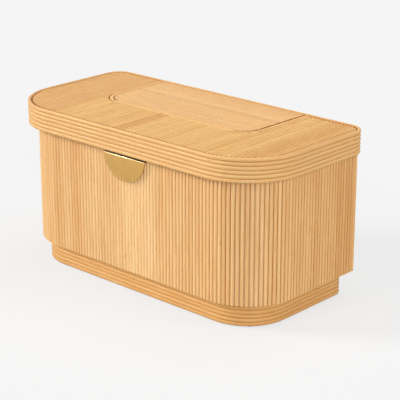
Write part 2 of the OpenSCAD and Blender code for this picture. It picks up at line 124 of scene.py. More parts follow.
# Birch veneer: pale cream with wide soft figure.
birch_upright = planed_wood("birch_veneer_upright", 2, "#EBD3A8", "#DEC191", 22, 0.5)
birch_long = planed_wood("birch_veneer_long", 0, "#ECD5AB", "#DFC394", 22, 0.5)
for name in ("front_wall", "back_wall", "left_wall", "right_wall", "corner_walls"):
    dress(name, birch_upright)
dress("floor_panel", birch_long)

# Plinth poles. Six rattan poles, planed flat on the back, are bent round the frame one above
# another and glued. Each is one length that meets itself in the middle of the back. Peeled
# rattan is honey coloured with long soft streaks, and has a thin satin lacquer.


def rattan(name, tones, groove_shade, reach, streak=0.5, marks=0.5, roughness=0.46, coat=0.12):
    """Peeled, lacquered rattan, its tones from dark to pale. It reads what strip_tree stores."""
    made, tree, shader = finish(name, roughness, IOR=1.45, Coat_Weight=coat, Coat_Roughness=0.24)
    strip = add(tree, "ShaderNodeAttribute", attribute_name="strip").outputs["Vector"]
    tone, crest, depth = [
        add(tree, "ShaderNodeAttribute", attribute_name=stored).outputs["Fac"]
        for stored in ("tone", "crest", "depth")]
    # Sizes in mm, along and across a strip. Real fibres are 0.3 mm wide and are drawn 0.8 mm
    # wide, so that they show from a step away.
    noise = {}
    for layer, along, across, detail in (
            ("shade", 420, 30, 1.0), ("streak", 160, 4.5, 3.0), ("pale", 90, 3, 2.0),
            ("fibre", 30, 0.8, 2.0), ("smudge", 14, 5, 3.0), ("speck", 2.6, 1.8, 1.0)):
        size = add(tree, "ShaderNodeMapping", {
            "Vector": strip, "Scale": (1000 / along, 1000 / across, 977.0)})
        noise[layer] = add(tree, "ShaderNodeTexNoise", {
            "Vector": size.outputs[0], "Scale": 1.0, "Detail": detail, "Distortion": 0.3}).outputs[0]
    colours = add(tree, "ShaderNodeValToRGB", {0: tone})
    while len(colours.color_ramp.elements) < len(tones):
        colours.color_ramp.elements.new(0.5)
    for i, code in enumerate(tones):
        colours.color_ramp.elements[i].position = i / (len(tones) - 1)
        colours.color_ramp.elements[i].color = linear(code)
    surface = colours.outputs[0]
    for layer, low, high, amount, code in (
            ("shade", 0.4, 0.7, 0.3, "#D8A363"), ("streak", 0.38, 0.7, streak, "#D49D59"),
            ("pale", 0.52, 0.75, 0.35, "#F6D9A0"), ("fibre", 0.5, 0.72, 0.28, "#B57F43"),
            ("smudge", 0.66, 0.74, marks, "#B3773D"), ("speck", 0.775, 0.82, 0.8, "#5B3418")):
        share = add(tree, "ShaderNodeMapRange", {0: noise[layer], 1: low, 2: high, 4: amount})
        surface = add(tree, "ShaderNodeMix", {
            0: share.outputs[0], 6: surface, 7: linear(code)}, data_type="RGBA").outputs[2]
    # The groove between two strips is painted browner: painted shade of the groove, with some dust and
    # lacquer.
    groove_shade_mask = add(tree, "ShaderNodeMapRange", {0: crest, 1: 0.0, 2: reach, 3: 1.0, 4: 0.0})
    groove_shade_mask = add(tree, "ShaderNodeMath", {0: groove_shade_mask.outputs[0], 1: depth}, operation="MULTIPLY")
    surface = add(tree, "ShaderNodeMix", {
        0: groove_shade_mask.outputs[0], 6: surface, 7: linear(groove_shade)}, data_type="RGBA", blend_type="MULTIPLY")
    # A sawn end that was fitted by hand is painted dark brown for its last three millimetres: painted
    # shade along the seam, with some stain.
    ends = add(tree, "ShaderNodeSeparateXYZ", {
        0: add(tree, "ShaderNodeAttribute", attribute_name="seam").outputs["Vector"]}).outputs
    nearer = add(tree, "ShaderNodeMath", {0: ends[0], 1: ends[1]}, operation="MINIMUM")
    seam_shade_mask = add(tree, "ShaderNodeMapRange", {
        0: nearer.outputs[0], 1: 0.001, 2: 0.0035, 3: 0.85, 4: 0.0})
    # Neither the painted groove shade nor the painted seam shade shines.
    matt = add(tree, "ShaderNodeMath", {0: seam_shade_mask.outputs[0], 1: groove_shade_mask.outputs[0]}, operation="MAXIMUM")
    for socket, bare in (("Coat Weight", coat), ("Specular IOR Level", 0.5)):
        dull = add(tree, "ShaderNodeMapRange", {0: matt.outputs[0], 1: 0.0, 2: 0.85, 3: bare, 4: 0.0})
        tree.links.new(dull.outputs[0], shader.inputs[socket])
    surface = add(tree, "ShaderNodeMix", {
        0: seam_shade_mask.outputs[0], 6: surface.outputs[2], 7: linear("#9A5412")}, data_type="RGBA")
    tree.links.new(surface.outputs[2], shader.inputs["Base Color"])
    rough = add(tree, "ShaderNodeMapRange", {
        0: noise["fibre"], 1: 0.35, 2: 0.7, 3: roughness - 0.06, 4: roughness + 0.12})
    tree.links.new(rough.outputs[0], shader.inputs["Roughness"])
    fibres = add(tree, "ShaderNodeBump", {"Height": noise["fibre"], "Strength": 0.3, "Distance": 0.00015})
    waves = add(tree, "ShaderNodeBump", {
        "Height": noise["streak"], "Strength": 0.4, "Distance": 0.0006, "Normal": fibres.outputs[0]})
    tree.links.new(waves.outputs[0], shader.inputs["Normal"])
    return made


# Edges that turn by more than this angle, in radians, stay sharp.
SHARP = 0.9


def strip_tree():
    """Turns guide lines into rattan strips: a rounded section with a flat back, swept along each."""
    tree = bpy.data.node_groups.new("rattan_strips", "GeometryNodeTree")
    face = tree.interface
    face.new_socket("Guides", in_out="INPUT", socket_type="NodeSocketGeometry")
    for name, value in (
            ("Back width", 0.0112), ("Height", 0.0052), ("Flatness", 1.0), ("Step", 0.06),
            ("Sway", 0.0002), ("Swell", 0.02), ("Grade", 0.03)):
        face.new_socket(name, in_out="INPUT", socket_type="NodeSocketFloat").default_value = value
    face.new_socket("Arc points", in_out="INPUT", socket_type="NodeSocketInt").default_value = 9
    face.new_socket("Seed", in_out="INPUT", socket_type="NodeSocketInt").default_value = 1
    face.new_socket("Finish", in_out="INPUT", socket_type="NodeSocketMaterial")
    face.new_socket("Strips", in_out="OUTPUT", socket_type="NodeSocketGeometry")
    given = add(tree, "NodeGroupInput").outputs

    # The lines, each with a number drawn for it and the distance along it.
    lines = add(tree, "GeometryNodeMeshToCurve", {0: given["Guides"]})
    spaced = add(tree, "GeometryNodeResampleCurve", {
        0: lines.outputs[0], "Length": given["Step"]}, mode="LENGTH")
    index = add(tree, "GeometryNodeInputIndex")
    drawn = add(tree, "FunctionNodeRandomValue", {
        2: 0.0, 3: 1.0, 7: index.outputs[0], 8: given["Seed"]}, data_type="FLOAT")
    numbered = add(tree, "GeometryNodeStoreNamedAttribute", {
        0: spaced.outputs[0], "Name": "lot", "Value": drawn.outputs[1]},
        data_type="FLOAT", domain="CURVE")
    lot = add(tree, "GeometryNodeInputNamedAttribute", {0: "lot"}, data_type="FLOAT").outputs[0]
    along = add(tree, "GeometryNodeSplineParameter").outputs["Length"]
    measured = add(tree, "GeometryNodeStoreNamedAttribute", {
        0: numbered.outputs[0], "Name": "along", "Value": along}, data_type="FLOAT", domain="POINT")

    # A strip wanders a little to each side and swells and thins a little.
    facing = add(tree, "GeometryNodeInputNamedAttribute", {
        0: "facing"}, data_type="FLOAT_VECTOR").outputs[0]
    slow = add(tree, "ShaderNodeMath", {0: along, 1: 9.0}, operation="MULTIPLY")
    apart = add(tree, "ShaderNodeMath", {0: lot, 1: 613.0}, operation="MULTIPLY")
    place = add(tree, "ShaderNodeCombineXYZ", {0: slow.outputs[0], 1: apart.outputs[0]})
    drift = add(tree, "ShaderNodeTexNoise", {"Vector": place.outputs[0], "Scale": 1.0, "Detail": 1.0})
    parts = add(tree, "ShaderNodeSeparateXYZ", {0: drift.outputs["Color"]}).outputs
    side = add(tree, "ShaderNodeVectorMath", {
        0: add(tree, "GeometryNodeInputTangent").outputs[0], 1: facing}, operation="CROSS_PRODUCT")
    centred = add(tree, "ShaderNodeMath", {0: parts[0], 1: 0.5}, operation="SUBTRACT")
    wide = add(tree, "ShaderNodeMath", {0: given["Sway"], 1: 2.0}, operation="MULTIPLY")
    shift = add(tree, "ShaderNodeMath", {0: centred.outputs[0], 1: wide.outputs[0]}, operation="MULTIPLY")
    offset = add(tree, "ShaderNodeVectorMath", {
        0: side.outputs[0], "Scale": shift.outputs[0]}, operation="SCALE")
    swayed = add(tree, "GeometryNodeSetPosition", {0: measured.outputs[0], "Offset": offset.outputs[0]})
    turned = add(tree, "GeometryNodeSetCurveNormal", {
        0: swayed.outputs[0], "Normal": facing}, mode="FREE")
    swing = add(tree, "ShaderNodeMath", {0: parts[1], 1: 0.5}, operation="SUBTRACT")
    swollen = add(tree, "ShaderNodeMath", {
        0: swing.outputs[0], 1: given["Swell"], 2: 1.0}, operation="MULTIPLY_ADD")
    many = add(tree, "ShaderNodeMath", {0: lot, 1: 37.0}, operation="MULTIPLY")
    part = add(tree, "ShaderNodeMath", {0: many.outputs[0]}, operation="FRACT")
    thinner = add(tree, "ShaderNodeMath", {0: part.outputs[0], 1: given["Grade"]}, operation="MULTIPLY")
    girth = add(tree, "ShaderNodeMath", {
        0: swollen.outputs[0], 1: thinner.outputs[0]}, operation="SUBTRACT")

    # The section: an arc on a flat back. A flatness over 1 lifts its shoulders.
    half = add(tree, "ShaderNodeMath", {0: given["Back width"], 1: 0.5}, operation="MULTIPLY")
    other = add(tree, "ShaderNodeMath", {0: half.outputs[0], 1: -1.0}, operation="MULTIPLY")
    left = add(tree, "ShaderNodeCombineXYZ", {1: other.outputs[0]})
    crown = add(tree, "ShaderNodeCombineXYZ", {0: given["Height"]})
    right = add(tree, "ShaderNodeCombineXYZ", {1: half.outputs[0]})
    arc = add(tree, "GeometryNodeCurveArc", {
        "Resolution": given["Arc points"], "Start": left.outputs[0],
        "Middle": crown.outputs[0], "End": right.outputs[0]}, mode="POINTS")
    at = add(tree, "ShaderNodeSeparateXYZ", {
        0: add(tree, "GeometryNodeInputPosition").outputs[0]}).outputs
    share = add(tree, "ShaderNodeMath", {
        0: at[0], 1: given["Height"]}, operation="DIVIDE", use_clamp=True)
    lack = add(tree, "ShaderNodeMath", {
        0: 1.0, 1: share.outputs[0]}, operation="SUBTRACT", use_clamp=True)
    less = add(tree, "ShaderNodeMath", {0: lack.outputs[0], 1: given["Flatness"]}, operation="POWER")
    rise = add(tree, "ShaderNodeMath", {0: 1.0, 1: less.outputs[0]}, operation="SUBTRACT")
    lifted = add(tree, "ShaderNodeMath", {0: rise.outputs[0], 1: given["Height"]}, operation="MULTIPLY")
    shoulder = add(tree, "ShaderNodeCombineXYZ", {0: lifted.outputs[0], 1: at[1]})
    below = add(tree, "ShaderNodeMath", {0: at[0], 1: 0.0}, operation="LESS_THAN")
    kept = add(tree, "ShaderNodeMath", {0: 1.0, 1: below.outputs[0]}, operation="SUBTRACT")
    shaped = add(tree, "GeometryNodeSetPosition", {
        0: arc.outputs[0], "Selection": kept.outputs[0], "Position": shoulder.outputs[0]})
    around = add(tree, "GeometryNodeSplineParameter").outputs
    rounded = add(tree, "GeometryNodeStoreNamedAttribute", {
        0: shaped.outputs[0], "Name": "around", "Value": around["Length"]},
        data_type="FLOAT", domain="POINT")
    double = add(tree, "ShaderNodeMath", {0: around["Factor"], 1: 2.0, 2: -1.0}, operation="MULTIPLY_ADD")
    away = add(tree, "ShaderNodeMath", {0: double.outputs[0]}, operation="ABSOLUTE")
    near = add(tree, "ShaderNodeMath", {0: 1.0, 1: away.outputs[0]}, operation="SUBTRACT")
    crested = add(tree, "GeometryNodeStoreNamedAttribute", {
        0: rounded.outputs[0], "Name": "crest", "Value": near.outputs[0]},
        data_type="FLOAT", domain="POINT")
    closed = add(tree, "GeometryNodeSetSplineCyclic", {0: crested.outputs[0], "Cyclic": True})

    swept = add(tree, "GeometryNodeCurveToMesh", {
        0: turned.outputs[0], 1: closed.outputs[0], "Scale": girth.outputs[0], "Fill Caps": True})
    read = [add(tree, "GeometryNodeInputNamedAttribute", {0: n}, data_type="FLOAT").outputs[0]
            for n in ("along", "around", "lot")]
    strip = add(tree, "ShaderNodeCombineXYZ", {0: read[0], 1: read[1], 2: read[2]})
    mapped = add(tree, "GeometryNodeStoreNamedAttribute", {
        0: swept.outputs[0], "Name": "strip", "Value": strip.outputs[0]},
        data_type="FLOAT_VECTOR", domain="POINT")
    angle = add(tree, "GeometryNodeInputMeshEdgeAngle").outputs[0]
    soft = add(tree, "ShaderNodeMath", {0: angle, 1: SHARP}, operation="LESS_THAN")
    smooth = add(tree, "GeometryNodeSetShadeSmooth", {
        0: mapped.outputs[0], "Shade Smooth": soft.outputs[0]}, domain="EDGE")
    real = add(tree, "GeometryNodeRealizeInstances", {0: smooth.outputs[0]})
    done = add(tree, "GeometryNodeSetMaterial", {0: real.outputs[0], "Material": given["Finish"]})
    add(tree, "NodeGroupOutput", {0: done.outputs[0]})
    return tree


def put(name, data):
    """A new object in the scene."""
    made = bpy.data.objects.new(name, data)
    bpy.context.scene.collection.objects.link(made)
    return made


def modified(piece):
    """A plain mesh of what an object's modifiers make."""
    graph = bpy.context.evaluated_depsgraph_get()
    return bpy.data.meshes.new_from_object(
        piece.evaluated_get(graph), preserve_all_data_layers=True, depsgraph=graph)


def run_tree(name, mesh, tree, sizes):
    """Puts a mesh through a Geometry Nodes tree and returns the result as one plain object."""
    source = put(name + "_source", mesh)
    modifier = source.modifiers.new("made", "NODES")
    modifier.node_group = tree
    for item in tree.interface.items_tree:
        if item.in_out == "INPUT" and item.name in sizes:
            modifier[item.identifier] = sizes[item.name]
    bpy.context.view_layer.update()
    result = modified(source)
    result.name = name
    bpy.data.objects.remove(source)
    return put(name, result)


# Vertices closer than this, in metres, are one.
MERGED = 1e-6


def sweep(name, lines, tones, made_of, groove_shade_depths, trim=None, **sizes):
    """Rattan along guide lines, each a list of (point in mm, direction it faces), with a tone and
    a depth of painted groove shade. A trim gives a point's new place and how far it is from the two ends."""
    points, edges, facing, tone, depth = [], [], [], [], []
    for line, own, groove_shade_depth in zip(lines, tones, groove_shade_depths):
        first = len(points)
        for point, out in line:
            points.append([v * MM for v in point])
            facing.extend(out)
            tone.append(own)
            depth.append(groove_shade_depth)
        edges += [(first + i, first + i + 1) for i in range(len(line) - 1)]
    guides = bpy.data.meshes.new(name + "_guides")
    guides.from_pydata(points, edges, [])
    guides.attributes.new("facing", "FLOAT_VECTOR", "POINT").data.foreach_set("vector", facing)
    guides.attributes.new("tone", "FLOAT", "POINT").data.foreach_set("value", tone)
    guides.attributes.new("depth", "FLOAT", "POINT").data.foreach_set("value", depth)
    piece = run_tree(name, guides, strips, {**sizes, "Finish": made_of})
    seam = piece.data.attributes.new("seam", "FLOAT_VECTOR", "POINT").data
    seam.foreach_set("vector", [1.0] * 3 * len(seam))
    if trim:
        for vertex, room in zip(piece.data.vertices, seam):
            vertex.co, ends = trim(vertex.co)
            room.vector = (*ends, 1.0)
        tidy = bmesh.new()
        tidy.from_mesh(piece.data)
        bmesh.ops.remove_doubles(tidy, verts=tidy.verts, dist=MERGED)
        tidy.to_mesh(piece.data)
        tidy.free()
        piece.data.set_sharp_from_angle(angle=SHARP)
    return piece


def settle(piece, body, slot, *replaced):
    """Fixes a finished piece to its body, in place of the CAD nodes that it stands for."""
    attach(piece, body)
    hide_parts(*replaced)


def cane_tones(count, seed, low, high):
    """Tones for strips laid in order; one to three beside each other come from one cane."""
    luck = random.Random(seed)
    tones = []
    while len(tones) < count:
        cane = luck.uniform(low, high)
        tones += [min(max(cane + luck.uniform(-0.1, 0.1), 0), 1) for _ in range(luck.randint(1, 3))]
    return tones[:count]


def ring_line(plan, z, step=24.0, bend_step=9.0):
    """A closed line round a plan, from the middle of the back and back to it. A plan is half
    the length, the front, the back, and the radii of the front and back corners, in mm."""
    half, front, back, front_r, back_r = plan
    line = []

    def straight(x0, y0, x1, y1, out):
        count = max(1, round(math.hypot(x1 - x0, y1 - y0) / step))
        for i in range(count):
            line.append(((x0 + (x1 - x0) * i / count, y0 + (y1 - y0) * i / count, z), out))

    def corner(x, y, radius, start):
        count = max(4, round(radius * math.pi / 2 / bend_step))
        for i in range(count):
            a = math.radians(start - 90 * i / count)
            out = (math.cos(a), math.sin(a), 0)
            line.append(((x + radius * out[0], y + radius * out[1], z), out))

    straight(0, back, half - back_r, back, (0, 1, 0))
    corner(half - back_r, back - back_r, back_r, 90)
    straight(half, back - back_r, half, front + front_r, (1, 0, 0))
    corner(half - front_r, front + front_r, front_r, 0)
    straight(half - front_r, front, -half + front_r, front, (0, -1, 0))
    corner(-half + front_r, front + front_r, front_r, -90)
    straight(-half, front + front_r, -half, back - back_r, (-1, 0, 0))
    corner(-half + back_r, back - back_r, back_r, -180)
    straight(-half + back_r, back, 0, back, (0, 1, 0))
    line.append(((0, back, z), (0, 1, 0)))
    return line


def inset(plan, by):
    """A plan moved inwards all round."""
    return [plan[0] - by, plan[1] + by, plan[2] - by, plan[3] - by, max(plan[4] - by, 0)]


strips = strip_tree()
# Bent rattan poles: honey coloured, with a soft shine along the crown.
pole_rattan = rattan(
    "bent_rattan_pole", ["#D39C5C", "#DAA765", "#E2B171", "#E9BD7F", "#EFCA8E"], "#A87848", 0.36,
    streak=0.4, marks=0.35, coat=0.06, roughness=0.52)
# The plinth's poles come from a more orange lot, and are painted darker as well: painted shade under the
# body's overhang.
plinth_rattan = rattan(
    "dark_rattan_pole", ["#C58A48", "#CD944F", "#D49D58", "#DBA763", "#E1B06F"], "#9C6E3C", 0.36,
    streak=0.4, marks=0.45, coat=0.05, roughness=0.58)
POLE = 10.6
POLE_BACK = 9.6
POLE_FLAT = 2 * math.sqrt((POLE / 2) ** 2 - (POLE_BACK - POLE / 2) ** 2)
POLE_STEP = 10.8
PLINTH = [412, -173, 200, 125, 24]
PLINTH_BOTTOM = 3.0
pole_sizes = {"Back width": POLE_FLAT * MM, "Height": POLE_BACK * MM, "Flatness": 1.5, "Step": 0.012,
              "Sway": 0.0001, "Swell": 0.015, "Grade": 0.015, "Arc points": 15}
# The top pole is painted darkest, with the deepest groove shade: painted shade under the body's overhang.
plinth_poles = sweep(
    "bent_plinth_poles",
    [ring_line(inset(PLINTH, POLE_BACK), PLINTH_BOTTOM + POLE_STEP * (i + 0.5)) for i in range(6)],
    [0.4, 0.7, 0.45, 0.65, 0.5, 0.3], plinth_rattan, [0.5, 0.4, 0.5, 0.4, 0.6, 0.9], Seed=11, **pole_sizes)
settle(plinth_poles, "trunk", "poles", "plinth_poles")

# Wall reeds. Split rattan reeds stand side by side on the walls, glued by their flat backs.
# They run from the plinth to just under the lid, round the bent corners too, and their
# round faces leave a groove between each two, painted brown as shade.

# Split rattan reeds: satin, each of its own honey tone.
wall_rattan = rattan(
    "split_rattan_reed", ["#D9A262", "#E2AE6F", "#EAB97C", "#F1C58A", "#F7D29A"], "#B6783C", 0.34)
BODY = [435, -196, 215, 148]
BODY_BOTTOM = 67.8
BODY_TOP = 399.0
REED = 11.2
REED_HEIGHT = 5.2
REED_STEP = 11.4
# What a whole corner cane takes at the end of a row.
CANE_ROOM = 2 * REED_HEIGHT + 0.2
walls = [BODY[0] - REED_HEIGHT, BODY[1] + REED_HEIGHT, BODY[2] - REED_HEIGHT, BODY[3] - REED_HEIGHT]


def upright(x, y, out):
    """The guide line of one wall reed."""
    return [((x, y, BODY_BOTTOM), out), ((x, y, BODY_TOP), out)]


def row(length):
    """The middles of a row of reeds that fills a length, measured from its middle."""
    count = math.floor(length / REED_STEP)
    return [length * ((i + 0.5) / count - 0.5) for i in range(count)]


corner_x = walls[0] - walls[3]
corner_y = walls[1] + walls[3]
side_length = BODY[2] - CANE_ROOM - corner_y
back_length = 2 * (BODY[0] - CANE_ROOM)
corner_count = math.floor(walls[3] * math.pi / 2 / REED_STEP)
bent = []
for side in (-1, 1):
    for i in range(corner_count):
        a = math.radians((i + 0.5) * 90 / corner_count)
        out = (side * math.sin(a), -math.cos(a), 0)
        bent.append(upright(side * corner_x + walls[3] * out[0], corner_y + walls[3] * out[1], out))
reed_sizes = {"Back width": REED * MM, "Height": REED_HEIGHT * MM, "Step": 0.066,
              "Sway": 0.00025, "Swell": 0.03, "Grade": 0.035, "Arc points": 9, "Flatness": 1.45}
# Reeds a little narrower than the rest leave a wider, darker groove.
NARROW = REED - 0.5
# Where on the front the tones are painted palest, and how far to each side this reaches.
PALE_X = 20
PALE_REACH = 190
# For each row: the CAD node it stands for, its lines, the range of its tones, how much
# painted shade its grooves get, and the flatness and width of its reeds.
wall_rows = {
    "front_wall_reeds": (
        "front_reeds", [upright(x, walls[1], (0, -1, 0)) for x in row(2 * corner_x)],
        (0.5, 0.8), 2.2, 1.2, NARROW),
    "corner_wall_reeds": ("corner_reeds", bent, (0.45, 0.9), 1.0, 1.2, REED),
    "left_wall_reeds": ("left_reeds", [
        upright(-walls[0], corner_y + side_length / 2 + y, (-1, 0, 0)) for y in row(side_length)],
        (0.5, 0.8), 0.35, 1.2, NARROW),
    # The right end gets darker canes than the front: painted shade of the end that the lamps light less.
    "right_wall_reeds": ("right_reeds", [
        upright(walls[0], corner_y + side_length / 2 + y, (1, 0, 0)) for y in row(side_length)],
        (0.2, 0.7), 2.2, 1.0, NARROW),
}
for seed, (name, given) in enumerate(wall_rows.items(), 21):
    replaced, lines, (low, high), groove_shade_depth, flatness, width = given
    tones = cane_tones(len(lines), seed, low, high)
    groove_shade_depths = [groove_shade_depth] * len(lines)
    # The canes of the right end are painted darker towards the back: painted shade.
    if replaced == "right_reeds":
        tones = [max(tone - 0.4 * i / len(lines), 0.0) for i, tone in enumerate(tones)]
    # The middle of the front is painted paler, with less painted shade in its grooves.
    if replaced == "front_reeds":
        middles = [max(0.0, 1 - abs(line[0][0][0] - PALE_X) / PALE_REACH) for line in lines]
        tones = [min(tone + 0.4 * m, 1.0) for tone, m in zip(tones, middles)]
        groove_shade_depths = [groove_shade_depth - 1.9 * m for m in middles]
    reeds = sweep(name, lines, tones, wall_rattan, groove_shade_depths, Seed=seed, **{
        **reed_sizes, "Flatness": flatness, "Back width": width * MM})
    settle(reeds, "trunk", "wall_reeds", replaced)

# Back reeds. The same split reeds cover the whole back between two whole corner poles.
# Under each hinge their tops are sawn down by the thickness of the leaf.

HINGE_X = 280.0
HINGE_HALF = 35.0
LEAF_BOTTOM = 397.8


def under_hinge(co):
    """Lowers what stands under a hinge leaf."""
    if co.z > LEAF_BOTTOM * MM and abs(abs(co.x) - HINGE_X * MM) < HINGE_HALF * MM:
        co.z = LEAF_BOTTOM * MM
    return co, (1.0, 1.0)


back_lines = [upright(x, walls[2], (0, 1, 0)) for x in row(back_length)]
back_reeds = sweep(
    "back_wall_reeds", back_lines, cane_tones(len(back_lines), 31, 0.35, 0.85), wall_rattan,
    [0.9] * len(back_lines), trim=under_hinge, Seed=31, **reed_sizes)
settle(back_reeds, "trunk", "wall_reeds", "back_reeds")
# A whole cane, and how far its back stands in from the corner of the walls.
CANE = 10.2
CANE_IN = 5
slant = math.sqrt(0.5)
corner_poles = sweep(
    "back_corner_canes",
    [upright(s * (walls[0] - CANE_IN * slant), walls[2] - CANE_IN * slant, (s * slant, slant, 0))
     for s in (-1, 1)],
    [0.5, 0.6], pole_rattan, [0.0] * 2, Seed=33,
    **{**pole_sizes, "Back width": 0.003, "Height": CANE * MM, "Flatness": 1.0, "Step": 0.066})
settle(corner_poles, "trunk", "poles", "back_corner_poles")

# Lid frame. Beech rails with sawn corner blocks, closed above by a plywood board that is
# stained dark brown, dark enough to give the painted shade in the seams between the reeds on it,
# and below by a birch panel that shows when the lid is open.

for name in ("lid_front_rail", "lid_back_rail", "lid_corner_blocks"):
    dress(name, beech_across)
dress("lid_end_rails", beech_deep)
# Stained plywood: a flat warm brown without shine, painted shade that only shows as thin dark lines in the
# seams.
brown_ply = planed_wood("brown_stained_ply_seam_shade", 0, "#9A5412", "#7A3F0A", 9, 0.95)
brown_ply.node_tree.nodes["Principled BSDF"].inputs["Specular IOR Level"].default_value = 0.0
dress("lid_top_board", brown_ply)
dress("lid_liner", birch_long)

# Lid band. Six bent poles like the plinth's go round the lid. The top one stands a little
# above the reeds inside it, and the lowest is notched at the back for the hinges.

LID = [457, -224, 224, 168, 47]
LID_BOTTOM = 400.2
HINGE_Y = 219.5
HINGE_Z = 399.6
BARREL_ROOM = 4.5
BARREL_HALF = 36.1
LEAF_TOP = 401.4
# How deep and how tall the slot for a hinge leaf is cut.
LEAF_SLOT = (30, 10)


def lid_ring(i):
    """The line of one pole of the band, counted from below."""
    return ring_line(inset(LID, POLE_BACK), LID_BOTTOM + POLE_STEP * (i + 0.5))


band = sweep(
    "bent_band_poles", [lid_ring(i) for i in range(5)], [0.5, 0.6, 0.45, 0.6, 0.5],
    pole_rattan, [0.5] * 5, Seed=41, **pole_sizes)
tool = bmesh.new()
for side in (-1, 1):
    barrel = Vector((side * HINGE_X, HINGE_Y, HINGE_Z)) * MM
    leaf = Vector((side * HINGE_X, HINGE_Y, LEAF_TOP - LEAF_SLOT[1] / 2)) * MM
    bmesh.ops.create_cone(
        tool, cap_ends=True, segments=32, radius1=BARREL_ROOM * MM, radius2=BARREL_ROOM * MM,
        depth=2 * BARREL_HALF * MM,
        matrix=Matrix.Translation(barrel) @ Matrix.Rotation(math.pi / 2, 4, "Y"))
    bmesh.ops.create_cube(
        tool, size=1.0, matrix=Matrix.Translation(leaf) @ Matrix.Diagonal(
            (2 * HINGE_HALF * MM, LEAF_SLOT[0] * MM, LEAF_SLOT[1] * MM, 1)))
cutter_mesh = bpy.data.meshes.new("hinge_cutter")
tool.to_mesh(cutter_mesh)
tool.free()
cutter = put("hinge_cutter", cutter_mesh)
notch = band.modifiers.new("notch", "BOOLEAN")
notch.operation = "DIFFERENCE"
notch.object = cutter
notch.use_self = True
band.data = modified(band)
band.modifiers.clear()
bpy.data.objects.remove(cutter)
settle(band, "lid", "poles", "band_poles")
rim = sweep("bent_rim_pole", [lid_ring(5)], [0.5], pole_rattan, [0.5], Seed=42, **pole_sizes)
settle(rim, "lid", "poles", "rim_pole")

# Top reeds. Split reeds planed flatter lie on the lid, rows from front to back at both ends
# and in front of the centre panel, with each end scribed to the rim or the panel's border.

# Flat split rattan: smooth, with long streaks and hardly a groove.
top_rattan = rattan(
    "flat_split_rattan", ["#D79E55", "#E0AA5E", "#E8B569", "#EEC075", "#F4CC84"], "#A06C38", 0.5,
    streak=0.6, marks=0.3, roughness=0.45)
TOP_BOARD = 459.6
TOP_HEIGHT = 3.4
RIM_WIDTH = 11.0
FIELD = inset(LID, RIM_WIDTH)
PANEL = [270, -32, 400, 62, 0]
SEAM = 0.4
# The wider gaps at the rim and at the left end of the panel, and how much more of each
# reed's end is kept free of stain at the panel.
RIM_GAP = 0.8
LEFT_GAP = 1.0
CLEAN_END = 2.4
top_sizes = {"Back width": REED * MM, "Height": TOP_HEIGHT * MM, "Flatness": 1.3, "Step": 0.06,
             "Sway": 0.00012, "Swell": 0.02, "Grade": 0.02, "Arc points": 9}


def setback(across, half, radius):
    """How far a rounded corner falls back from the straight edge, at a distance across."""
    past = max(0.0, min(abs(across) - (half - radius), radius))
    return radius - math.sqrt(radius * radius - past * past)


def lengthways(x, y0, y1):
    """The guide line of one reed of the end and front rows."""
    return [((x, y0, TOP_BOARD), (0, 0, 1)), ((x, y1, TOP_BOARD), (0, 0, 1))]


def scribe_field(co):
    """Keeps an end or front row inside the rim, and in front of the centre panel."""
    x = co.x / MM
    low = FIELD[1] + RIM_GAP + setback(x, FIELD[0], FIELD[3])
    high = FIELD[2] - setback(x, FIELD[0], FIELD[4])
    if abs(x) < PANEL[0] + SEAM:
        high = PANEL[1] - SEAM + setback(x, PANEL[0] + SEAM, PANEL[3] + SEAM)
        if x < PANEL[3] - PANEL[0]:
            high -= LEFT_GAP
    co.y = min(max(co.y, low * MM), high * MM)
    # The ends at the panel are cleaner than the ends at the rim.
    clean = CLEAN_END if abs(x) < PANEL[0] - PANEL[3] else 0
    return co, (co.y - low * MM, (high + clean) * MM - co.y)


def painted_groove_shades(count, seed, low, high):
    """How much painted shade the groove beside each reed gets, drawn at random for each."""
    luck = random.Random(seed)
    return [luck.uniform(low, high) for _ in range(count)]


side_middle = (FIELD[0] + PANEL[0] + SEAM) / 2
side_rows = row(FIELD[0] - PANEL[0] - SEAM)
# The right field's grooves get more painted shade than the left field's.
for name, replaced, side, seed, tones, groove_shade_range, flatness in (
        ("left_top_reeds", "left_field_reeds", -1, 51, (0.0, 0.15), (0.1, 0.5), 2.6),
        ("right_top_reeds", "right_field_reeds", 1, 53, (0.2, 0.75), (0.1, 1.0), 1.0)):
    reeds = sweep(
        name, [lengthways(side * side_middle + x, FIELD[1], FIELD[2]) for x in side_rows],
        cane_tones(len(side_rows), seed, *tones), top_rattan,
        painted_groove_shades(len(side_rows), seed + 1, *groove_shade_range), trim=scribe_field, Seed=seed,
        **{**top_sizes, "Flatness": flatness})
    settle(reeds, "lid", "top_reeds", replaced)
# Three canes left of the middle of the front row are darker than the rest.
DARK_FROM = -40
DARK_TO = -5
DARK = 0.02
front_rows = row(2 * (PANEL[0] + SEAM))
front_tones = cane_tones(len(front_rows), 55, 0.55, 0.8)
for i, x in enumerate(front_rows):
    if DARK_FROM < x < DARK_TO:
        front_tones[i] = DARK
front_reeds = sweep(
    "front_top_reeds", [lengthways(x, FIELD[1], PANEL[1] + PANEL[3]) for x in front_rows],
    front_tones, top_rattan, painted_groove_shades(len(front_rows), 56, 0.3, 1.0),
    trim=scribe_field, Seed=55, **top_sizes)
settle(front_reeds, "lid", "top_reeds", "front_field_reeds")

# Centre panel. Reeds laid from left to right and sanded almost flush fill a panel with two
# rounded front corners, open to the back. One reed bent round its edge frames them.

inner = inset(PANEL, REED + SEAM)
panel_depth = FIELD[2] - inner[1]
across = [inner[1] + panel_depth / 2 + y for y in row(panel_depth)]
# The least and most by which a reed is sawn short at the right end, how far from the front
# this takes to begin, and the plain gap in the left corner.
SHORTEST, LONGEST = 0.4, 3.4
SEAM_START = 30
LEFT_CORNER_GAP = 1.2
luck = random.Random(64)
cut_short = [luck.uniform(SHORTEST, LONGEST) for _ in across]


